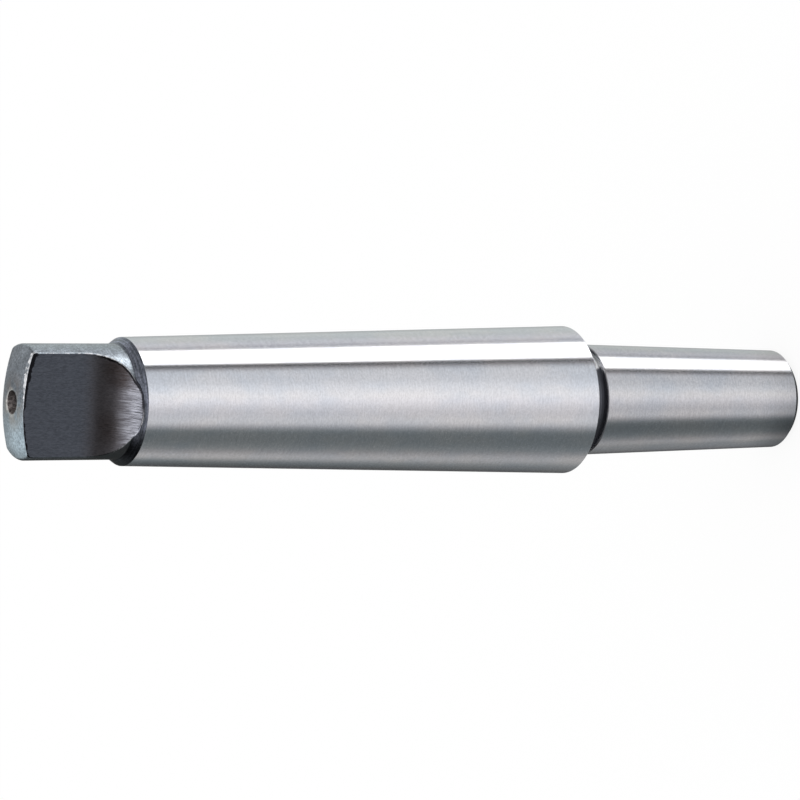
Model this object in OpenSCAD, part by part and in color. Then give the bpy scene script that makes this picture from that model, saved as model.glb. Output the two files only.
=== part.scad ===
// Drill chuck arbor, turned, milled and ground from one bar of steel.
// It stands upright on the small end of its chuck taper, with the tang at the top.
// The axis is Z, the origin is the middle of the lower end face, and the tang's flats face -Y and +Y.

/* [Shank taper] */
// Diameter of the shank taper at its gauge plane
shank_gauge_d = 23.825; // [22.9:0.005:26]
// Length over which the shank's diameter changes by one (a No. 3 machine taper is 1 in 19.922)
shank_taper_ratio = 19.922; // [17:0.001:24]
// Length from the gauge plane to the end of the tang
shank_gauge_l = 94; // [80:0.5:108]
// Length of the taper beyond the gauge plane, at its big end
shank_overrun = 4; // [2:0.5:6]

/* [Tang] */
// Diameter of the round sides of the tang
tang_d = 18; // [15:0.1:19.4]
// Thickness across the two flats
tang_t = 7.9; // [5:0.1:11]
// Length of the flats, from the end of the tang to where the cutter starts to run out
flat_l = 9.9; // [6:0.1:13]
// Radius of the milling cutter, left in the shank where the flats run out
run_out_r = 8.5; // [6.5:0.1:12]
// Length from the end of the tang to the small end of the ground taper
tang_l = 18.5; // [16:0.1:26]
// Angle of the turned shoulder between tang and taper, to the axis
shoulder_angle = 35; // [20:1:60]
// Radius of the crowned end of the tang
crown_r = 28; // [20:1:60]
// Radius of the corner between the crowned end and the round sides
tang_corner_r = 0.7; // [0.4:0.1:3]

/* [Chuck taper] */
// Diameter of the chuck taper at its gauge plane
chuck_gauge_d = 17.78; // [17:0.005:20]
// Length over which the chuck taper's diameter changes by one (a B18 chuck taper is 1 in 20.020)
chuck_taper_ratio = 20.02; // [17:0.001:24]
// Length from the gauge plane to the small end of the ground taper
chuck_gauge_l = 32; // [24:0.5:42]
// Length of the taper beyond the gauge plane, at its big end
chuck_overrun = 5; // [2:0.5:6]
// Width of the 45 degree chamfer round the lower end face
chuck_chamfer = 1; // [0.4:0.1:2]

/* [Neck] */
// Length of the recess between the two tapers
neck_l = 3.4; // [2.4:0.1:8]
// Diameter of the recess
neck_d = 15.6; // [12:0.1:16]
// Radius in the corners of the recess
neck_fillet_r = 0.8; // [0.2:0.1:1]
// Width of the broken edges on either side of the recess
edge_break = 0.15; // [0.1:0.05:0.4]

/* [Centre holes] */
// Diameter of the 60 degree seat at the tang's end
tang_seat_d = 3.8; // [3:0.1:6]
// Diameter of the pilot hole under that seat
tang_pilot_d = 1.6; // [1:0.1:2.5]
// Depth of that pilot hole's full diameter, from the end
tang_pilot_l = 4.5; // [3.5:0.1:8]
// Diameter of the 60 degree seat at the chuck taper's end
chuck_seat_d = 5.3; // [4:0.1:8]
// Diameter of the pilot hole under that seat
chuck_pilot_d = 2.5; // [1.5:0.1:3.5]
// Depth of that pilot hole's full diameter, from the end
chuck_pilot_l = 5.5; // [4.6:0.1:10]

/* [Hidden] */
$fn = 96;

steel_colour = [0.74, 0.75, 0.77];

// Heights of the sections, from the lower end face upwards
chuck_big_z = chuck_chamfer + chuck_gauge_l + chuck_overrun;
shank_big_z = chuck_big_z + neck_l;
tang_end_z = shank_big_z + shank_overrun + shank_gauge_l;
shank_small_z = tang_end_z - tang_l;
flat_end_z = tang_end_z - flat_l;

// Radii of the two tapers at their ends
chuck_small_r = (chuck_gauge_d - chuck_gauge_l / chuck_taper_ratio) / 2;
chuck_big_r = (chuck_gauge_d + chuck_overrun / chuck_taper_ratio) / 2;
shank_big_r = (shank_gauge_d + shank_overrun / shank_taper_ratio) / 2;
shank_small_r = (shank_gauge_d - (shank_gauge_l - tang_l) / shank_taper_ratio) / 2;

// Radii at the broken edges, which lie one edge width back along each taper
chuck_edge_r = chuck_big_r - edge_break / chuck_taper_ratio / 2;
shank_edge_r = shank_big_r - edge_break / shank_taper_ratio / 2;

tang_r = tang_d / 2;
neck_r = neck_d / 2;
shoulder_z = shank_small_z + (shank_small_r - tang_r) / tan(shoulder_angle);

// The corner arc touches the round side and the crown, so its centre lies on a line from the crown's centre
crown_z = tang_end_z - crown_r;
corner_r = tang_r - tang_corner_r;
corner_z = crown_z + sqrt(pow(crown_r - tang_corner_r, 2) - pow(corner_r, 2));

// A corner fillet is never larger than the wall it sits in
neck_wall = chuck_big_r - edge_break - neck_r;
neck_fillet = min(neck_fillet_r, neck_wall);

seat_half_angle = 30;
drill_half_angle = 59;
clear = 1; // how far each cutter stands out of the metal

// Half section of the chuck taper, with its end chamfer and broken edge
module chuck_taper_section() {
    polygon([
        [0, 0],
        [chuck_small_r - chuck_chamfer, 0],
        [chuck_small_r, chuck_chamfer],
        [chuck_edge_r, chuck_big_z - edge_break],
        [chuck_edge_r - edge_break, chuck_big_z],
        [0, chuck_big_z]
    ]);
}

// Concave fillet in a corner of the recess at height z, in the wall that rises on that side (1 up, -1 down)
module neck_fillet_section(z, side) {
    translate([neck_r, z])
        scale([1, side])
            difference() {
                translate([-neck_fillet, -neck_fillet]) square(2 * neck_fillet);
                translate([neck_fillet, neck_fillet]) circle(neck_fillet);
            }
}

// Half section of the recess that parts the two tapers and clears the grinding wheel
module neck_section() {
    translate([0, chuck_big_z - edge_break]) square([neck_r, neck_l + 2 * edge_break]);
    neck_fillet_section(chuck_big_z, 1);
    neck_fillet_section(shank_big_z, -1);
}

// Half section of the shank taper, from its broken edge to the turned shoulder
module shank_section() {
    polygon([
        [0, shank_big_z],
        [shank_edge_r - edge_break, shank_big_z],
        [shank_edge_r, shank_big_z + edge_break],
        [shank_small_r, shank_small_z],
        [tang_r, shoulder_z],
        [0, shoulder_z]
    ]);
}

// Half section of the tang before milling, a round stub with a crowned end and rounded corner
module tang_section() {
    translate([0, shoulder_z - clear]) square([tang_r, corner_z - shoulder_z + clear]);
    translate([corner_r, corner_z]) circle(tang_corner_r);
    intersection() {
        translate([0, crown_z]) circle(crown_r);
        polygon([
            [0, crown_z],
            [2 * corner_r, 2 * corner_z - crown_z],
            [0, 2 * tang_end_z - crown_z]
        ]);
    }
}

// Half section of a centre drilled hole that opens at height z, towards side (1 up, -1 down):
// a 60 degree seat, a pilot hole and the drill's point
module centre_hole_section(z, side, seat_d, pilot_d, pilot_l) {
    seat_l = (seat_d - pilot_d) / 2 / tan(seat_half_angle);
    mouth_d = seat_d + 2 * clear * tan(seat_half_angle);
    point_l = pilot_d / 2 / tan(drill_half_angle);
    translate([0, z])
        scale([1, side])
            polygon([
                [0, clear],
                [mouth_d / 2, clear],
                [pilot_d / 2, -seat_l],
                [pilot_d / 2, -pilot_l],
                [0, -pilot_l - point_l]
            ]);
}

// The whole bar as it leaves the lathe and the grinder, with the holes that it turned between
module turned_bar() {
    rotate_extrude()
        difference() {
            union() {
                chuck_taper_section();
                neck_section();
                shank_section();
                tang_section();
            }
            centre_hole_section(tang_end_z, 1, tang_seat_d, tang_pilot_d, tang_pilot_l);
            centre_hole_section(0, -1, chuck_seat_d, chuck_pilot_d, chuck_pilot_l);
        }
}

// Path of the milling cutter on the +Y side: along the flat, then out through the shank on its own radius
module flat_cutter() {
    cutter_axis_y = tang_t / 2 + run_out_r;
    reach = shank_big_r + clear;
    rotate([90, 0, 90])
        linear_extrude(height = 2 * reach, center = true) {
            translate([tang_t / 2, flat_end_z]) square([reach, flat_l + clear]);
            translate([cutter_axis_y, flat_end_z]) circle(run_out_r);
            translate([cutter_axis_y, flat_end_z - run_out_r]) square([reach, run_out_r + flat_l + clear]);
        }
}

module arbor() {
    color(steel_colour)
        difference() {
            turned_bar();
            flat_cutter();
            mirror([0, 1, 0]) flat_cutter();
        }
}

arbor();
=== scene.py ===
import math

import bmesh
import bpy
import numpy as np
from mathutils import Matrix, Vector


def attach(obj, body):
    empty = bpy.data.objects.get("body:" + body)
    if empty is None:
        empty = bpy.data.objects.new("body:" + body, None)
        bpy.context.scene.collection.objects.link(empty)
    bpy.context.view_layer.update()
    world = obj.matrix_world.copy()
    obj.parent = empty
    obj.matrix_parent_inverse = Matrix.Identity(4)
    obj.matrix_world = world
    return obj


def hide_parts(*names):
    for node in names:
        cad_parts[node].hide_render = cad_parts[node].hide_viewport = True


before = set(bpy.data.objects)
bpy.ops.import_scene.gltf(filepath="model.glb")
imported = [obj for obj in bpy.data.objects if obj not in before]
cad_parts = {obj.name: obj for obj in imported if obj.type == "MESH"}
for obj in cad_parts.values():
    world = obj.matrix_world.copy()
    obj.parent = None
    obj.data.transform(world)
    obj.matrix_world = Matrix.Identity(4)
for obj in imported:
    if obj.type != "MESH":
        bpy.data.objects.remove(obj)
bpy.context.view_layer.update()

# The bar
# One round of steel, turned between centres. Both tapers are ground, and the neck lets the wheel run out.
# The half outline starts at the point of the lower centre hole, goes up the outside and ends at the point
# of the upper one.

# Sizes are in millimetres, and this turns them into metres where Blender needs them
MM = 0.001

chuck_gauge_d = 17.78
chuck_taper_ratio = 20.02
chuck_gauge_l = 32.0
chuck_overrun = 5.0
chuck_chamfer = 1.0
neck_l = 3.4
neck_r = 7.8
neck_fillet = 0.8
edge_break = 0.15
shank_gauge_d = 23.825
shank_taper_ratio = 19.922
shank_gauge_l = 94.0
shank_overrun = 4.0
tang_l = 18.5
tang_r = 9.0
shoulder_angle = math.radians(35)
tang_corner_r = 0.7
crown_r = 28.0

# The two centre holes
chuck_seat_r = 2.65
chuck_pilot_r = 1.25
chuck_pilot_l = 5.5
tang_seat_r = 1.9
tang_pilot_r = 0.8
tang_pilot_l = 4.5
seat_half_angle = math.radians(30)
drill_half_angle = math.radians(59)

# Radii that round the corners
turned_edge_r = 0.12
broken_edge_r = 0.05
shoulder_edge_r = 0.25
pilot_edge_r = 0.1

chuck_big_z = chuck_chamfer + chuck_gauge_l + chuck_overrun
shank_big_z = chuck_big_z + neck_l
tang_end_z = shank_big_z + shank_overrun + shank_gauge_l
shank_small_z = tang_end_z - tang_l
chuck_small_r = (chuck_gauge_d - chuck_gauge_l / chuck_taper_ratio) / 2
chuck_edge_r = (chuck_gauge_d + (chuck_overrun - edge_break) / chuck_taper_ratio) / 2
shank_edge_r = (shank_gauge_d + (shank_overrun - edge_break) / shank_taper_ratio) / 2
shank_small_r = (shank_gauge_d - (shank_gauge_l - tang_l) / shank_taper_ratio) / 2
shoulder_z = shank_small_z + (shank_small_r - tang_r) / math.tan(shoulder_angle)
crown_z = tang_end_z - crown_r
crown_drop = crown_r - math.sqrt(crown_r**2 - tang_seat_r**2)


def arc(centre_r, centre_z, radius, first, last, steps):
    """Points of an arc between two angles, which count from the radial direction."""
    angles = np.linspace(first, last, steps + 1)
    return [(centre_r + radius * math.cos(a), centre_z + radius * math.sin(a), 0) for a in angles]


def centre_hole(end_z, into, seat_r, pilot_r, pilot_l, drop=0):
    """Corners of a centre drilled hole, from its point to its rim. It goes into the metal, which is 1 for
    upwards and -1 for downwards. On a crowned end its rim lies a drop below the highest point."""
    seat_l = (seat_r - pilot_r) / math.tan(seat_half_angle)
    point_l = pilot_r / math.tan(drill_half_angle)
    rim_r = seat_r - drop * math.tan(seat_half_angle)
    corners = [
        (0, pilot_l + point_l, 0),
        (pilot_r, pilot_l, pilot_edge_r),
        (pilot_r, seat_l, pilot_edge_r),
        (rim_r, drop, turned_edge_r),
    ]
    return [(r, end_z + into * depth, rounding) for r, depth, rounding in corners]


def tang_end():
    """Corners of the rounded corner and the crowned end, up to the rim of the centre hole."""
    corner_r = tang_r - tang_corner_r
    corner_z = crown_z + math.sqrt((crown_r - tang_corner_r) ** 2 - corner_r**2)
    meeting = math.atan2(corner_z - crown_z, corner_r)
    corner = arc(corner_r, corner_z, tang_corner_r, 0, meeting, steps=20)
    rim_angle = math.acos(tang_seat_r / crown_r)
    crown = arc(0, crown_z, crown_r, meeting, rim_angle, steps=10)
    return corner + crown[1:-1]


def outline(corners, close=0.04, longest=2.5, arc_step=math.radians(12)):
    """Points (radius, height) of the half outline. Each corner is (radius, height, rounding). A rounded one
    becomes an arc with a point close by on either side, which keeps the shading beside it true."""
    points = [np.array(corners[0][:2], float)]

    def go_to(goal):
        last = points[-1]
        count = max(1, math.ceil(np.linalg.norm(goal - last) / longest))
        points.extend(last + (goal - last) * i / count for i in range(1, count + 1))

    for before, corner, after in zip(corners, corners[1:], corners[2:]):
        point, rounding = np.array(corner[:2], float), corner[2]
        if not rounding:
            go_to(point)
            continue
        back = np.array(before[:2]) - point
        ahead = np.array(after[:2]) - point
        back /= np.linalg.norm(back)
        ahead /= np.linalg.norm(ahead)
        half = math.acos(np.clip(back @ ahead, -1, 1)) / 2
        reach = rounding / math.tan(half)
        centre = point + (back + ahead) / np.linalg.norm(back + ahead) * rounding / math.sin(half)
        go_to(point + back * (reach + close))
        start, end = point + back * reach - centre, point + ahead * reach - centre
        steps = max(3, math.ceil((math.pi - 2 * half) / arc_step))
        for i in range(steps + 1):
            spoke = start * (1 - i / steps) + end * i / steps
            points.append(centre + spoke / np.linalg.norm(spoke) * rounding)
        points.append(point + ahead * (reach + close))
    go_to(np.array(corners[-1][:2], float))
    return np.array(points)


def distances(points):
    """Distance along a line of points, at each of them."""
    return np.concatenate([[0], np.cumsum(np.linalg.norm(np.diff(points, axis=0), axis=1))])


bar = outline([
    *centre_hole(0, 1, chuck_seat_r, chuck_pilot_r, chuck_pilot_l),
    (chuck_small_r - chuck_chamfer, 0, turned_edge_r),
    (chuck_small_r, chuck_chamfer, turned_edge_r),
    (chuck_edge_r, chuck_big_z - edge_break, turned_edge_r),
    (chuck_edge_r - edge_break, chuck_big_z, broken_edge_r),
    (neck_r, chuck_big_z, neck_fillet),
    (neck_r, shank_big_z, neck_fillet),
    (shank_edge_r - edge_break, shank_big_z, broken_edge_r),
    (shank_edge_r, shank_big_z + edge_break, turned_edge_r),
    (shank_small_r, shank_small_z, turned_edge_r),
    (tang_r, shoulder_z, shoulder_edge_r),
    *tang_end(),
    *centre_hole(tang_end_z, -1, tang_seat_r, tang_pilot_r, tang_pilot_l, crown_drop)[::-1],
])
along = distances(bar)


def bar_radius(distance):
    return np.interp(distance, along, bar[:, 0])


def bar_height(distance):
    return np.interp(distance, along, bar[:, 1])


def on_bar(distance, angle):
    """Points of the turned surface at a distance along the outline, at an angle round the axis from +X."""
    r = bar_radius(distance)
    return np.stack([r * np.cos(angle), r * np.sin(angle), bar_height(distance) + 0 * angle], -1)


# The two flats of the tang
# They are milled along the bar, and the cutter leaves through the shoulder on its own radius, as a hollow.
# Handling has rounded their sharp edges a little, so each edge is a narrow strip between the two surfaces.
half_tang = 3.95
flat_l = 9.9
flat_end_z = tang_end_z - flat_l
run_out_r = 8.5
edge_width = 0.15
edge_spacing = 0.25
edge_steps = 4
round_steps = 84
flat_steps = 36
search_points = 200001
edge_points = 20001
evened_points = 201


def milled_height(z):
    """Height of the milled surface over the axis, out of reach where the cutter never comes."""
    run = np.clip(flat_end_z - z, 0, run_out_r)
    return half_tang + run_out_r - np.sqrt(run_out_r**2 - run**2)


def on_flat(x, path):
    """Points of the milled surface at a distance along the cutter's path, 0 being where the flat ends."""
    turn = np.clip(-path / run_out_r, 0, math.pi / 2)
    height = half_tang + run_out_r * (1 - np.cos(turn))
    z = flat_end_z + np.maximum(path, 0) - run_out_r * np.sin(turn)
    return np.stack([x, height + 0 * x, z + 0 * x], -1)


def path_at(z):
    """Distance along the cutter's path at height z."""
    turn = np.arcsin(np.clip((flat_end_z - z) / run_out_r, 0, 1))
    return np.maximum(z - flat_end_z, 0) - run_out_r * turn


def unit(vectors):
    return vectors / np.linalg.norm(vectors, axis=1, keepdims=True)


# Where the turned surface is higher than the milled one, from the tip of the hollow to the top of the flat
search = np.linspace(0, along[-1], search_points)
stands_proud = search[bar_radius(search) > milled_height(bar_height(search))]
tip_distance, top_distance = stands_proud[0], stands_proud[-1]

# The sharp edge where they meet, closely spaced, with its direction evened out over each small corner
closer_at_ends = (1 - np.cos(np.linspace(0, math.pi, edge_points))) / 2
distance = tip_distance + (top_distance - tip_distance) * closer_at_ends
angle = np.arcsin(np.clip(milled_height(bar_height(distance)) / bar_radius(distance), -1, 1))
angle[[0, -1]] = math.pi / 2
edge = on_bar(distance, angle)
direction = unit(np.gradient(edge, axis=0))
window = np.ones(evened_points) / evened_points
direction = unit(np.stack([np.convolve(part, window, "same") for part in direction.T], -1))
direction[[0, -1]] = (1, 0, 0), (-1, 0, 0)

# The rounding ends one width away from the sharp edge, squarely across it, on each of the two surfaces
step = 0.001
slope = unit(on_bar(distance + step, angle) - on_bar(distance - step, angle))
around = np.stack([-np.sin(angle), np.cos(angle), 0 * angle], -1)
bar_side_distance = distance + edge_width * np.sum(direction * around, axis=1)
bar_side_angle = angle - edge_width * np.sum(direction * slope, axis=1) / bar_radius(distance)
path = path_at(edge[:, 2])
path_slope = unit(on_flat(0 * path, path + step) - on_flat(0 * path, path - step))
flat_side_x = edge[:, 0] - edge_width * np.sum(direction * path_slope, axis=1)
flat_side_path = path + edge_width * direction[:, 0]
flat_side_x[[0, -1]] = 0

# Rings lie evenly along the edge, and at the bar's own corners
corner_gap = 0.02
end_gap = 0.004
edge_length = distances(edge)
even = np.interp(np.arange(0, edge_length[-1], edge_spacing), edge_length, bar_side_distance)
first_ring, last_ring = bar_side_distance[[0, -1]]
bar_corners = along[(along > first_ring + corner_gap) & (along < last_ring - corner_gap)]
even = even[np.abs(even[:, None] - bar_corners).min(axis=1) > corner_gap]
even = even[(even > first_ring + end_gap) & (even < last_ring - end_gap)]
edge_rings = np.unique(np.concatenate([[first_ring, last_ring], even, bar_corners]))


def at_rings(values):
    """Values that are known along the sharp edge, where the rings are."""
    if values.ndim > 1:
        return np.stack([at_rings(column) for column in values.T], -1)
    return np.interp(edge_rings, bar_side_distance, values)


edge_ring_angle = at_rings(bar_side_angle)
edge_ring_angle[[0, -1]] = math.pi / 2


class Surface:
    """Collects grids of points into one list of corners and faces, each corner with its distance inside the
    flat's sharp edge, which is negative outside the flat."""

    def __init__(self):
        self.points, self.faces, self.inside, self.count = [], [], [], 0

    def grid(self, points, inside):
        rows, columns = points.shape[:2]
        index = self.count + np.arange(rows * columns).reshape(rows, columns)
        corners = index[:-1, :-1], index[1:, :-1], index[1:, 1:], index[:-1, 1:]
        self.faces.append(np.stack(corners, -1).reshape(-1, 4))
        self.points.append(points.reshape(-1, 3))
        self.inside.append(np.broadcast_to(inside, (rows, columns)).reshape(-1))
        self.count += rows * columns


def from_edge(points, farthest=1.5, every=40):
    """Distance of points from the nearest sharp edge, no less than where its rounding ends and no more than
    the farthest that matters. The four edges are mirror images of each other."""
    sparse_edge = edge[::every]
    nearest = [np.linalg.norm(row[:, None] - sparse_edge, axis=-1).min(axis=-1) for row in np.abs(points)]
    return np.clip(np.array(nearest), edge_width, farthest)


surface = Surface()

# Rings of the bar, which are whole outside the flats and two arcs between them
whole_gap = 0.03
below = along[along < first_ring - whole_gap]
above = along[along > last_ring + whole_gap]
ring_distance = np.concatenate([below, edge_rings, above])
ring_angle = np.concatenate([0 * below + math.pi / 2, edge_ring_angle, 0 * above + math.pi / 2])
round_share = np.linspace(-1, 1, round_steps + 1)
rings = on_bar(ring_distance[:, None] + 0 * round_share, ring_angle[:, None] * round_share)
round_inside = -from_edge(rings)
for x_side in (1, -1):
    surface.grid(rings * (x_side, 1, 1), round_inside)

# The milled surfaces, in rows across the flat that are closer together near its edges
flat_share = np.sin(np.linspace(-math.pi / 2, math.pi / 2, flat_steps + 1))
row_x = at_rings(flat_side_x)[:, None] * flat_share
row_path = at_rings(flat_side_path)[:, None] + 0 * flat_share
rows = on_flat(row_x, row_path)
flat_inside = from_edge(rows)
for y_side in (1, -1):
    surface.grid(rows * (1, y_side, 1), flat_inside)

# The rounded edges between them
from_bar = on_bar(edge_rings, edge_ring_angle)
from_flat = on_flat(at_rings(flat_side_x), at_rings(flat_side_path))
share = np.linspace(0, 1, edge_steps + 1)[:, None, None]
strip = from_bar * (1 - share) ** 2 + at_rings(edge) * 2 * share * (1 - share) + from_flat * share**2
for x_side in (1, -1):
    for y_side in (1, -1):
        surface.grid(strip * (x_side, y_side, 1), edge_width * (2 * share[:, :, 0] - 1))

mesh = bpy.data.meshes.new("arbor")
mesh.from_pydata(np.concatenate(surface.points) * MM, [], np.concatenate(surface.faces).tolist())
inside_edge = mesh.attributes.new("inside_edge", "FLOAT", "POINT")
inside_edge.data.foreach_set("value", np.concatenate(surface.inside).astype(np.float32))

weld = 0.0005
joined = bmesh.new()
joined.from_mesh(mesh)
bmesh.ops.remove_doubles(joined, verts=joined.verts, dist=weld * MM)
bmesh.ops.recalc_face_normals(joined, faces=joined.faces)
joined.to_mesh(mesh)
joined.free()
mesh.shade_smooth()

arbor = bpy.data.objects.new("steel_arbor", mesh)
bpy.context.scene.collection.objects.link(arbor)
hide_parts("arbor")
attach(arbor, "root")


# Ground tapers
# The wheel leaves the two tapers bright, with fine lines round the bar and faint patches. Painted shade
# makes the chuck taper a little darker, most of all at its lower end and on its lower side.
def add(tree, kind, inputs=None, **settings):
    """A shader node with its settings. Each input gets a value, or a link when the value is another node's
    output."""
    made = tree.nodes.new("ShaderNode" + kind)
    for name, value in settings.items():
        setattr(made, name, value)
    for name, value in (inputs or {}).items():
        if isinstance(value, bpy.types.NodeSocket):
            tree.links.new(value, made.inputs[name])
        else:
            made.inputs[name].default_value = value
    return made


def effect(name, inputs, outputs):
    """A node group with named inputs (kind, usual value) and outputs (kind). It comes with the sockets that
    give the inputs and take the outputs."""
    group = bpy.data.node_groups.new(name, "ShaderNodeTree")
    for label, (kind, value) in inputs.items():
        socket = group.interface.new_socket(label, in_out="INPUT", socket_type="NodeSocket" + kind)
        socket.default_value = value
    for label, kind in outputs.items():
        group.interface.new_socket(label, in_out="OUTPUT", socket_type="NodeSocket" + kind)
    return group, group.nodes.new("NodeGroupInput").outputs, group.nodes.new("NodeGroupOutput").inputs


def placed(tree, group, inputs):
    """The outputs of a node group that is placed in a material, with its inputs set or linked."""
    return add(tree, "Group", inputs, node_tree=group).outputs


def material(name, wearer):
    """The empty node tree of a new material, which becomes the next one of the mesh that wears it."""
    made = bpy.data.materials.new(name)
    made.use_nodes = True
    made.node_tree.nodes.clear()
    wearer.materials.append(made)
    return made.node_tree


def finished(tree, inputs):
    """Ends a material with the shader of its finish."""
    finish = add(tree, "BsdfPrincipled", inputs)
    add(tree, "OutputMaterial", {"Surface": finish.outputs[0]})


def ramp(tree, value, low, high, bottom=0.0, top=1.0):
    """A value that goes from bottom to top, smoothly, while the given one goes from low to high."""
    limits = {"Value": value, "From Min": low, "From Max": high, "To Min": bottom, "To Max": top}
    return add(tree, "MapRange", limits, interpolation_type="SMOOTHSTEP").outputs[0]


def maths(tree, operation, *values):
    return add(tree, "Math", dict(enumerate(values)), operation=operation).outputs[0]


def product(tree, first, *others):
    for other in others:
        first = maths(tree, "MULTIPLY", first, other)
    return first


def scaled(tree, vector, factor):
    """A colour or a place times a factor, which is one value or has one for each part."""
    return add(tree, "VectorMath", {0: vector, 1: factor}, operation="MULTIPLY").outputs[0]


def mixed(tree, share, first, second):
    """The first colour where the share is 0, and the second where it is 1. The node has inputs of the same
    name for other kinds, so they go by number."""
    return add(tree, "Mix", {0: share, 6: first, 7: second}, data_type="RGBA").outputs[2]


def place_on_bar(tree):
    """Where a point lies on the bar, in millimetres."""
    return scaled(tree, add(tree, "TexCoord").outputs["Object"], (1 / MM, 1 / MM, 1 / MM))


def spot(tree):
    """Where a point lies on the bar, as its X, Y and Z in millimetres."""
    return add(tree, "SeparateXYZ", {0: place_on_bar(tree)}).outputs


def noise(tree, scale, detail=2.0, roughness=0.5):
    """Noise in the bar's own coordinates, with its own scale per millimetre along each of them."""
    stretched = scaled(tree, place_on_bar(tree), scale)
    settings = {"Vector": stretched, "Detail": detail, "Roughness": roughness, "Scale": 1}
    return add(tree, "TexNoise", settings).outputs[0]


def bumps(tree, height, depth, strength=1.0, beneath=None):
    """Normals of a surface with bumps of a given depth in millimetres, which may lie over coarser ones."""
    inputs = {"Strength": strength, "Distance": depth * MM, "Height": height}
    if beneath:
        inputs["Normal"] = beneath
    return add(tree, "Bump", inputs).outputs[0]


# Tool marks, which every surface has in its own direction: fine, uneven lines and broad, faint patches
tool_marks, given, gives = effect(
    "tool marks",
    {"Lines per mm": ("Vector", (1, 1, 1)), "Patches per mm": ("Vector", (0.2, 0.2, 0.2))},
    {"Lines": "Float", "Patches": "Float"},
)
tool_marks.links.new(noise(tool_marks, given["Lines per mm"], 4, 0.7), gives["Lines"])
tool_marks.links.new(noise(tool_marks, given["Patches per mm"], 3, 0.6), gives["Patches"])

cool_steel = (0.725, 0.74, 0.785, 1)
warm_steel = (0.765, 0.75, 0.765, 1)
end_shade_l = 9

tree = material("ground_steel", mesh)
marks = placed(tree, tool_marks, {"Lines per mm": (0.38, 0.38, 5.2), "Patches per mm": (0.16, 0.16, 0.09)})
colour = mixed(tree, ramp(tree, marks["Patches"], 0.35, 0.65), cool_steel, warm_steel)
clouds = ramp(tree, marks["Patches"], 0.35, 0.65, 0.975, 1.025)
lines = ramp(tree, marks["Lines"], 0.3, 0.7, 0.95, 1.04)
grain = ramp(tree, noise(tree, (2.3, 2.3, 3.4), 3, 0.7), 0.3, 0.7, 0.93, 1.07)
here = spot(tree)
# Painted shade: darker on the chuck taper, and more at its lower end, most of all towards -X
chuck_shade = ramp(tree, here["Z"], chuck_big_z, shank_big_z, 0.84, 1)
end_shade = ramp(tree, here["Z"], 0, end_shade_l, ramp(tree, here["X"], -4.5, 2, 0.45, 0.82), 1)
waves = bumps(tree, noise(tree, (0.42, 0.42, 0.26), 1), 0.003)
finished(tree, {
    "Base Color": scaled(tree, colour, product(tree, clouds, lines, grain, chuck_shade, end_shade)),
    "Metallic": 1,
    "Roughness": 0.2,
    "Anisotropic": 0.95,
    "Anisotropic Rotation": 0.25,
    "Tangent": add(tree, "Tangent", direction_type="RADIAL", axis="Z").outputs[0],
    "Normal": bumps(tree, marks["Lines"], 0.01, 0.15, waves),
})

# Black finish of the turned surfaces
# The hardened tang, its crown and its shoulder keep the black skin of the furnace. Painted shade darkens
# it on the side towards -X, less on the crown, while the side towards +X, called the upper side here, stays
# lighter. Along the sharp edges of the flats stands a thin, broken burr of bare steel, which a painted
# highlight makes strong on the upper side, with a painted shadow beside it.
bare_steel = (0.94, 0.94, 0.96, 1)
dull_steel = (0.5, 0.5, 0.52, 1)
near_black = (0.006, 0.006, 0.007, 1)

edge_wear_and_light, given, gives = effect(
    "edge wear and light",
    {"Finish": ("Color", (0.1, 0.1, 0.1, 1))},
    {"Color": "Color", "Metallic": "Float"},
)
tree = edge_wear_and_light
here = spot(tree)
inside = add(tree, "Attribute", attribute_name="inside_edge").outputs["Fac"]
off_edge = maths(tree, "ABSOLUTE", inside)
upper_side = ramp(tree, here["X"], -1.2, 0.8)
lower_side = maths(tree, "SUBTRACT", 1, upper_side)
at_end = ramp(tree, here["Z"], tang_end_z - 2.6, tang_end_z - 2)
at_hollow = ramp(tree, here["Z"], flat_end_z - 3.3, flat_end_z - 1, 1, 0)
at_tip = ramp(tree, here["Z"], flat_end_z - 7.3, flat_end_z - 6.5, 1, 0)
towards_corner = product(tree, at_end, ramp(tree, here["X"], -2, 6.5))

# The burr is lumpy, and its width in millimetres depends on where it stands. At the front it is wider on
# the crown.
lumps = maths(tree, "SUBTRACT", noise(tree, (1.3, 1.3, 1.3), 4, 0.75), 0.5)
least = ramp(tree, here["Z"], flat_end_z - 1, flat_end_z + 0.5, 0.09, -0.02)
along_side = maths(tree, "MULTIPLY_ADD", lumps, 0.9, least)
along_hollow = maths(tree, "MULTIPLY_ADD", lumps, 0.35, 0.05)
burr_width = ramp(tree, here["Z"], flat_end_z - 4.5, flat_end_z - 3, along_hollow, along_side)
outside_flat = maths(tree, "LESS_THAN", inside, 0)
in_front = maths(tree, "LESS_THAN", here["Y"], 0)
wider = product(tree, at_end, outside_flat, in_front, ramp(tree, towards_corner, 0, 1, 0.15, 0.7))
wider = product(tree, wider, ramp(tree, lumps, -0.12, 0.12, 0.3, 1.3))
beyond = maths(tree, "SUBTRACT", off_edge, maths(tree, "ADD", burr_width, wider))
# The burr is bare steel, and a painted highlight makes it strong on the upper side and faint on the lower
# one
upper_burr_highlight = product(tree, upper_side, ramp(tree, at_end, 0, 1, 0.7, 1), maths(tree, "SUBTRACT", 1, at_tip))
lower_burr_highlight = product(tree, lower_side, ramp(tree, here["Z"], flat_end_z - 5.9, flat_end_z - 4.3, 0.4, 0))
inner_limit = maths(tree, "MULTIPLY_ADD", towards_corner, -0.4, 0.3)
burr_and_highlight = product(tree, ramp(tree, beyond, -0.02, 0.05, 1, 0), maths(tree, "MAXIMUM", upper_burr_highlight, lower_burr_highlight))
burr_and_highlight = product(tree, burr_and_highlight, maths(tree, "LESS_THAN", inside, inner_limit))
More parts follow.
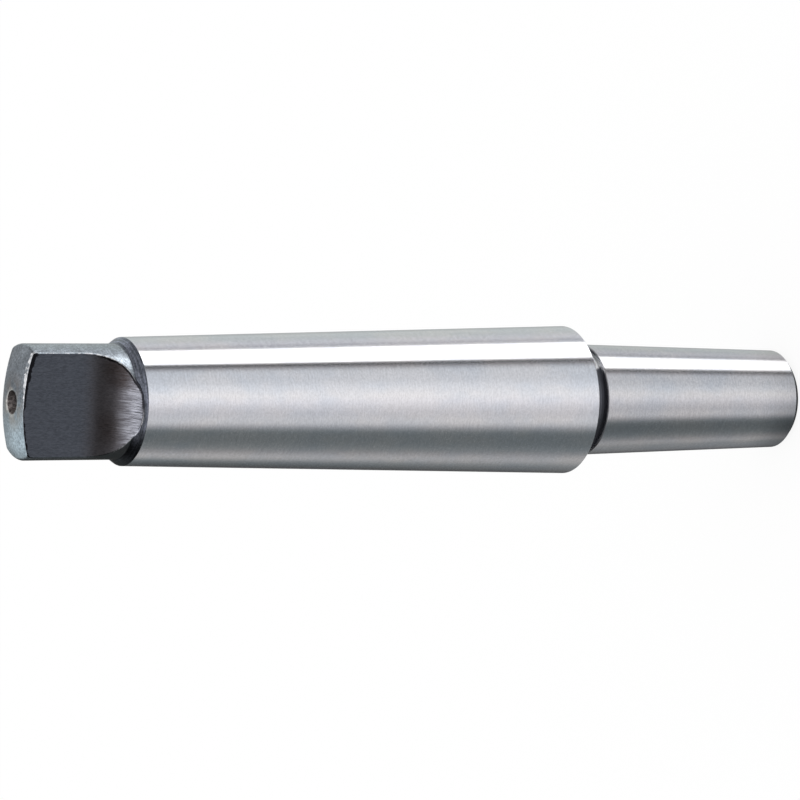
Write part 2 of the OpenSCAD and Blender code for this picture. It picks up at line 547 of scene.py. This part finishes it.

# Painted shadow lies just inside the burr, and a dark line lies on the edge itself at the tip of the hollow
shadow_starts = maths(tree, "MULTIPLY_ADD", upper_side, 0.18, -0.08)
shadow_starts = maths(tree, "MULTIPLY_ADD", towards_corner, -0.2, shadow_starts)
past_start = maths(tree, "SUBTRACT", inside, shadow_starts)
past_end = maths(tree, "MULTIPLY_ADD", towards_corner, -0.42, past_start)
past_end = maths(tree, "SUBTRACT", past_end, lumps)
burr_shadow = product(tree, ramp(tree, past_start, 0, 0.05), ramp(tree, past_end, 0.2, 0.36, 1, 0))
burr_shadow = product(tree, burr_shadow, maths(tree, "MAXIMUM", at_end, product(tree, upper_side, at_hollow)))
tip_line = product(tree, ramp(tree, off_edge, 0.1, 0.2, 1, 0), at_tip, ramp(tree, here["X"], -3.8, -2.2))
darkened = product(tree, maths(tree, "MAXIMUM", burr_shadow, tip_line), 0.93)
unworn = mixed(tree, darkened, given["Finish"], near_black)
mottled = mixed(tree, ramp(tree, lumps, -0.1, 0.12), dull_steel, bare_steel)
tree.links.new(mixed(tree, burr_and_highlight, unworn, mottled), gives["Color"])
tree.links.new(maths(tree, "MULTIPLY_ADD", burr_and_highlight, -0.65, 1), gives["Metallic"])

dark_skin = (0.208, 0.232, 0.26, 1)
pale_skin = (0.52, 0.575, 0.632, 1)
oil_smear = (0.3, 0.26, 0.235, 1)
bright_rim = (0.8, 0.76, 0.71, 1)
shoulder_shades = (0.55, 0.54, 0.58, 1), (1.06, 1.02, 1.13, 1)

tree = material("black_turned", mesh)
marks = placed(tree, tool_marks, {"Lines per mm": (2.6, 2.6, 3.6), "Patches per mm": (0.5, 0.5, 0.5)})
here = spot(tree)
colour = mixed(tree, ramp(tree, marks["Lines"], 0.3, 0.7), dark_skin, pale_skin)

# Round the centre hole lies a smear of oil, and the hole's rim is bright, most of all at the back
on_crown = ramp(tree, here["Z"], tang_end_z - 2.9, tang_end_z - 1.9)
beside_axis = scaled(tree, place_on_bar(tree), (1, 1, 0))
from_axis = add(tree, "VectorMath", {0: beside_axis}, operation="LENGTH").outputs["Value"]
smear = product(tree, on_crown, ramp(tree, from_axis, 2, 5.5, 1, 0), 0.8)
smear = product(tree, smear, ramp(tree, marks["Patches"], 0.35, 0.6))
colour = mixed(tree, smear, colour, oil_smear)
rim_reach = maths(tree, "MULTIPLY_ADD", marks["Patches"], -1.2, from_axis)
rim = product(tree, on_crown, ramp(tree, rim_reach, 1.4, 1.9, 1, 0))
rim = product(tree, rim, ramp(tree, here["Y"], -0.8, 1.2, 0.25, 1))
rim = product(tree, rim, ramp(tree, marks["Lines"], 0.4, 0.55, 0.35, 1))
colour = mixed(tree, rim, colour, bright_rim)

# The shoulder has turned rings. Painted shade darkens the skin in its corner, along the lower side of the
# tang and at the lower edge of the crown.
on_shoulder = ramp(tree, here["Z"], shoulder_z - 0.15, shoulder_z + 0.05, 1, 0)
turned_rings = mixed(tree, ramp(tree, noise(tree, (0.18, 0.18, 3.3), 3, 0.6), 0.4, 0.6), *shoulder_shades)
colour = mixed(tree, on_shoulder, colour, scaled(tree, colour, turned_rings))
# Painted shade darkens the skin in the corner between the shoulder and the tang
from_corner = maths(tree, "ABSOLUTE", maths(tree, "SUBTRACT", here["Z"], shoulder_z))
corner = ramp(tree, from_corner, 0.08, 0.3, 0.6, 1)
patches = ramp(tree, marks["Patches"], 0.3, 0.7, 0.82, 1.18)
# Painted shade: the skin is darker towards -X, most of all beside the hollow, and the crown stays lighter
# but for its lower edge
lower_shade = ramp(tree, here["Z"], flat_end_z - 3.3, flat_end_z - 0.7, 0.08, 0.4)
lower_shade = product(tree, lower_shade, ramp(tree, here["Z"], flat_end_z - 7.3, flat_end_z - 6.8, 3, 1))
lower_side_shade = ramp(tree, here["X"], -6.6, -2.8, lower_shade, 1)
crown_shade = product(tree, on_crown, ramp(tree, here["X"], -8.8, -6.9, 0.5, 1))
painted_light = maths(tree, "MAXIMUM", crown_shade, lower_side_shade)
edges = placed(tree, edge_wear_and_light, {"Finish": scaled(tree, colour, product(tree, patches, corner, painted_light))})
finished(tree, {
    "Base Color": edges["Color"],
    "Metallic": edges["Metallic"],
    "Roughness": 0.29,
    "Normal": bumps(tree, marks["Lines"], 0.02, 0.5),
})

# Black finish of the milled surfaces
# The cutter leaves fine lines along the bar, a darker brown tone where it starts to rise, and chatter marks
# at the end of the hollow, whose bright streaks are painted glints. They were milled before the tang was
# hardened, so they are black too.
dark_cut = (0.062, 0.068, 0.083, 1)
pale_cut = (0.103, 0.112, 0.131, 1)
dark_brown = (0.076, 0.071, 0.075, 1)
darkest_brown = (0.034, 0.026, 0.024, 1)
dark_streak = (0.127, 0.128, 0.146, 1)
streak_glint = (0.7, 0.713, 0.772, 1)

tree = material("black_milled", mesh)
marks = placed(tree, tool_marks, {"Lines per mm": (3.6, 0.04, 0.09), "Patches per mm": (0.42, 0.3, 0.26)})
here = spot(tree)
grain = ramp(tree, noise(tree, (6.5, 1.9, 1.9), 3, 0.7), 0.3, 0.7, 0.78, 1.22)
colour = scaled(tree, mixed(tree, marks["Lines"], dark_cut, pale_cut), grain)
streaks = noise(tree, (12.5, 0.4, 0.33), 4, 0.75)
tone_reach = maths(tree, "MULTIPLY_ADD", streaks, 3, here["Z"])
brown_tone = ramp(tree, tone_reach, flat_end_z - 2, flat_end_z + 2, 1, 0)

# Two places in the hollow are darker. Each has its X and Z, half its width and length, and its depth.
darker_places = (5.5, flat_end_z - 5.4, 3.3, 2.8, 1), (-3.4, flat_end_z - 4.3, 3.6, 2.2, 0.7)
darker_spots = 0
for x, z, half_width, half_length, depth in darker_places:
    across = maths(tree, "DIVIDE", maths(tree, "SUBTRACT", here["X"], x), half_width)
    lengthways = maths(tree, "DIVIDE", maths(tree, "SUBTRACT", here["Z"], z), half_length)
    squares = maths(tree, "ADD", maths(tree, "POWER", across, 2), maths(tree, "POWER", lengthways, 2))
    darker_spots = maths(tree, "MAXIMUM", darker_spots, ramp(tree, squares, 0, 1, depth, 0))
darker_spots = product(tree, darker_spots, ramp(tree, marks["Patches"], 0.3, 0.6, 0.6, 1))
darker_spots = product(tree, darker_spots, ramp(tree, streaks, 0.42, 0.58, 1, 0.55))
browns = mixed(tree, darker_spots, dark_brown, darkest_brown)
paler_below = ramp(tree, here["Z"], flat_end_z - 4.2, flat_end_z - 2.5, 1.5, 1)
browns = scaled(tree, browns, product(tree, grain, paler_below))
colour = mixed(tree, brown_tone, colour, browns)

# Chatter starts unevenly, and nearer to the end of the flat on the upper side. Its bright streaks are
# painted glints, brighter towards the tip of the hollow and on the upper side.
starts = maths(tree, "MULTIPLY_ADD", marks["Patches"], -2, here["Z"])
starts = maths(tree, "MULTIPLY_ADD", streaks, -3, starts)
starts = maths(tree, "ADD", starts, ramp(tree, here["X"], 0, 5, 0, 1.4))
chatter = ramp(tree, starts, flat_end_z - 10.7, flat_end_z - 7, 1, 0)
chatter_with_glints = mixed(tree, ramp(tree, streaks, 0.4, 0.6), dark_streak, streak_glint)
brighter_below = ramp(tree, here["Z"], flat_end_z - 8.3, flat_end_z - 5, 1.02, 0.5)
upper_glint = ramp(tree, here["X"], 0, 3, 1, 1.52)
chatter_with_glints = scaled(tree, chatter_with_glints, product(tree, brighter_below, upper_glint))
edges = placed(tree, edge_wear_and_light, {"Finish": mixed(tree, chatter, colour, chatter_with_glints)})
finished(tree, {
    "Base Color": edges["Color"],
    "Metallic": edges["Metallic"],
    "Roughness": 0.36,
    "Normal": bumps(tree, marks["Lines"], 0.03, 0.4),
})

# Black finish of the recess and the holes
# No wheel reaches the neck and the lower end, so they stay black, but for a painted glint on one side of
# the neck. The centre holes are brown with old oil, with painted shade that darkens them on the upper side,
# and the tang's hole also deeper in.
dark_recess = (0.066, 0.069, 0.081, 1)
pale_recess = (0.122, 0.127, 0.148, 1)
glint_colour = (1, 1, 1, 1)

tree = material("black_recess", mesh)
marks = placed(tree, tool_marks, {"Lines per mm": (0.09, 0.09, 2.4), "Patches per mm": (0.3, 0.3, 0.3)})
colour = mixed(tree, marks["Lines"], dark_recess, pale_recess)
here = spot(tree)

# The painted glint lies 11 to 44 degrees from +X towards the front, which is found by the angle's tangent
upper_side = maths(tree, "GREATER_THAN", here["X"], 0)
tangent = maths(tree, "DIVIDE", here["Y"], maths(tree, "MAXIMUM", here["X"], 1))
painted_light = product(tree, ramp(tree, tangent, -0.98, -0.84), ramp(tree, tangent, -0.34, -0.2, 1, 0))
above_taper = ramp(tree, here["Z"], chuck_big_z - 0.3, chuck_big_z - 0.1)
below_shank = ramp(tree, here["Z"], shank_big_z - 0.15, shank_big_z - 0.02, 1, 0)
painted_light = product(tree, painted_light, upper_side, above_taper, below_shank)
finished(tree, {
    "Base Color": mixed(tree, painted_light, colour, glint_colour),
    "Metallic": 0.8,
    "Roughness": 0.33,
    "Normal": bumps(tree, marks["Lines"], 0.03, 0.3),
})

black_oil = (0.03, 0.025, 0.024, 1)
brown_oil = (0.15, 0.132, 0.127, 1)

tree = material("centre_hole", mesh)
marks = placed(tree, tool_marks, {"Lines per mm": (1.8, 1.8, 1.8), "Patches per mm": (0.7, 0.7, 0.7)})
colour = mixed(tree, ramp(tree, marks["Lines"], 0.35, 0.65), black_oil, brown_oil)
here = spot(tree)
# Painted shade: the tang's hole darkens deeper in, and both holes are darker on their upper side
depth_shade = ramp(tree, here["Z"], tang_end_z - 1.8, tang_end_z - 0.3, 0.7, 1.8)
upper_side_shade = ramp(tree, here["X"], 0, 1.4, 1.15, 0.45)
finished(tree, {
    "Base Color": scaled(tree, colour, product(tree, depth_shade, upper_side_shade)),
    "Metallic": 0.6,
    "Roughness": 0.45,
})

# Each face gets the number of its material, in the order in which they were made
ground, turned, milled, recess, hole = range(5)
z_margin = 0.01
milled_margin = 0.02
rim_margin = 0.05
r_margin = 0.1
centre = np.array([face.center for face in mesh.polygons]) / MM
radius = np.hypot(centre[:, 0], centre[:, 1])
height = centre[:, 2]
off_milled = np.abs(np.abs(centre[:, 1]) - milled_height(height))
beside_chuck_taper = (height > chuck_chamfer) & (height < chuck_big_z + z_margin)
beside_shank_taper = (height > shank_big_z - z_margin) & (height < shank_small_z)
on_chuck_taper = beside_chuck_taper & (radius > chuck_small_r - r_margin)
on_shank_taper = beside_shank_taper & (radius > shank_small_r - r_margin)
on_milled = (height > shank_small_z) & (off_milled < milled_margin)
in_tang_hole = (height > shank_small_z) & (radius < tang_seat_r - rim_margin)
in_chuck_hole = (height < chuck_big_z) & (radius < chuck_seat_r - rim_margin)
on_tang = height > shank_small_z - rim_margin
finish = np.select(
    [on_chuck_taper | on_shank_taper, on_milled, in_tang_hole | in_chuck_hole, on_tang],
    [ground, milled, hole, turned],
    recess,
)
mesh.polygons.foreach_set("material_index", finish.astype(np.int32))

# Studio
# A white table in a soft white room. The steel sees tall panels that stand round it instead: a strip light,
# a wide diffuser and dark flags, which give a ground taper its bands. Above them stands a second ring, with
# a broad light overhead.
world = bpy.data.worlds.new("studio")
world.use_nodes = True
bpy.context.scene.world = world
tree = world.node_tree
tree.nodes.clear()

# Only reflections see the panels, so they aren't sampled as lamps
world.cycles.sampling_method = "NONE"

# Bearings are in degrees. Near the floor the panels are turned a little to one side.
towards = add(tree, "SeparateXYZ", {0: add(tree, "TexCoord").outputs["Generated"]}).outputs
bearing = maths(tree, "DEGREES", maths(tree, "ARCTAN2", towards["Y"], towards["X"]))
bearing = maths(tree, "SUBTRACT", bearing, ramp(tree, towards["Z"], -0.53, -0.44, 3.7, 0))
way_round = add(tree, "MapRange", {0: bearing, 1: -180, 2: 180}).outputs[0]

white = (1, 1, 1)
grey = (1, 1, 1.03)
cool = (0.89, 1, 1.02)
warm = (1, 0.99, 0.97)
lavender = (0.965, 1, 1.04)
greenish = (0.95, 1, 0.98)


def ring_of_panels(stops):
    """Light from all round, with its strength and tint at a number of bearings. A ramp comes with two
    stops, and the others are added to it."""
    panels = add(tree, "ValToRGB", {0: way_round})
    elements = panels.color_ramp.elements
    for i, (degrees, (light, tint)) in enumerate(stops.items()):
        stop = elements[i] if i < 2 else elements.new(1)
        stop.position = (degrees + 180) / 360
        stop.color = (light * tint[0], light * tint[1], light * tint[2], 1)
    return panels.outputs[0]


tall_panels = ring_of_panels({
    -180: (0.32, white),
    -170: (0.22, cool),
    -154: (0.17, cool),
    -138: (0.18, cool),
    -133: (0.23, cool),
    -126: (0.50, grey),
    -120: (0.76, white),
    -104: (0.69, grey),
    -94: (0.82, grey),
    -84: (1.00, grey),
    -74: (1.07, white),
    -60: (0.94, lavender),
    -50: (0.80, lavender),
    -31: (0.75, lavender),
    -25.5: (0.46, grey),
    -19.5: (0, grey),
    -16: (0, grey),
    -12.6: (2.4, white),
    16.6: (2.4, white),
    18.4: (0.37, grey),
    25: (0.54, grey),
    32: (0.76, grey),
    50: (0.66, greenish),
    64: (0.70, greenish),
    98: (0.30, greenish),
    107: (0.14, white),
    118: (0.07, white),
    140: (0.13, cool),
    152: (0.21, cool),
    164: (0.50, warm),
    170: (0.50, white),
    180: (0.32, white),
})
upper_panels = ring_of_panels({
    -180: (0.05, white),
    -140: (0.18, white),
    -120: (0.25, white),
    -82: (0.22, grey),
    -40: (0.33, white),
    0: (0.25, white),
    30: (0.22, white),
    60: (0.46, white),
    82: (0.45, white),
    95: (0.28, grey),
    106: (0.88, cool),
    120: (1.08, cool),
    140: (0.28, white),
    152: (0.02, white),
    180: (0.03, white),
})

# A paler panel stands low on one side, and the floor under all of them is dark
low_panel = (1, 1, 1.03, 1)
overhead = (1.2, 1.2, 1.25, 1)
dark_floor = (0.04, 0.04, 0.04, 1)
white_room = (1, 1, 1, 1)
near_floor = ramp(tree, towards["Z"], -0.53, -0.46, 1, 0)
low_start = ramp(tree, bearing, 105, 132)
low_end = ramp(tree, bearing, 143, 158, 0.2, 0)
tall_panels = mixed(tree, product(tree, near_floor, low_start, low_end), tall_panels, low_panel)
lights = mixed(tree, ramp(tree, towards["Z"], -0.05, 0.25), tall_panels, upper_panels)
lights = mixed(tree, ramp(tree, towards["Z"], 0.7, 0.85), lights, overhead)
lights = mixed(tree, ramp(tree, towards["Z"], -0.85, -0.72), dark_floor, lights)
seen = mixed(tree, add(tree, "LightPath").outputs["Is Glossy Ray"], white_room, lights)
sky = add(tree, "Background", {"Color": seen, "Strength": 1})
add(tree, "OutputWorld", {"Surface": sky.outputs[0]})

# The table lies a hair below the bar's lower end. The steel doesn't mirror it, and from below it is clear.
# To the camera most of its white is a light of its own, so that it matches the room.
half_table = 4000 * MM
top_z = -0.02 * MM
own_light = 0.9
table = bpy.data.objects.new("table", bpy.data.meshes.new("table"))
table_corners = [(x * half_table, y * half_table, top_z) for x, y in ((-1, -1), (1, -1), (1, 1), (-1, 1))]
table.data.from_pydata(table_corners, [], [(0, 1, 2, 3)])
bpy.context.scene.collection.objects.link(table)
table.visible_glossy = False
tree = material("pale_table", table.data)
paper = add(tree, "BsdfDiffuse", {"Color": (1, 1, 1, 1)}).outputs[0]
glow = add(tree, "Emission", {"Color": (1, 1, 1, 1), "Strength": 1}).outputs[0]
glowing = maths(tree, "MULTIPLY", add(tree, "LightPath").outputs["Is Camera Ray"], own_light)
lit = add(tree, "MixShader", {0: glowing, 1: paper, 2: glow}).outputs[0]
clear = add(tree, "BsdfTransparent").outputs[0]
from_below = add(tree, "NewGeometry").outputs["Backfacing"]
one_sided = add(tree, "MixShader", {0: from_below, 1: lit, 2: clear}).outputs[0]
add(tree, "OutputMaterial", {"Surface": one_sided})

# Camera
# It looks down on the standing bar from the side of one flat, and is turned on its side, so that the bar
# lies across the picture with its tang on the left.
camera_turn = math.radians(8.4)
camera_rise = math.radians(28.69)
camera_roll = math.radians(-0.25)
camera_distance = 745.9
left_of_neck = 26.5
above_axis = 0.05

axis = Vector((0, 0, 1))
level = Vector((math.sin(camera_turn), -math.cos(camera_turn), 0))
up = Vector((math.cos(camera_turn), math.sin(camera_turn), 0))
right = math.sin(camera_rise) * level - math.cos(camera_rise) * axis
back = math.cos(camera_rise) * level + math.sin(camera_rise) * axis
stand = axis * shank_big_z - right * left_of_neck + up * above_axis + back * camera_distance

camera = bpy.data.objects.new("camera", bpy.data.cameras.new("camera"))
camera.data.lens = 205.5
camera.data.sensor_width = 36
camera.data.clip_end = 20
facing = Matrix((right, up, back)).transposed().to_4x4() @ Matrix.Rotation(camera_roll, 4, "Z")
camera.matrix_world = Matrix.Translation(stand * MM) @ facing
bpy.context.scene.collection.objects.link(camera)
bpy.context.scene.camera = camera
bpy.context.scene.view_settings.view_transform = "Standard"
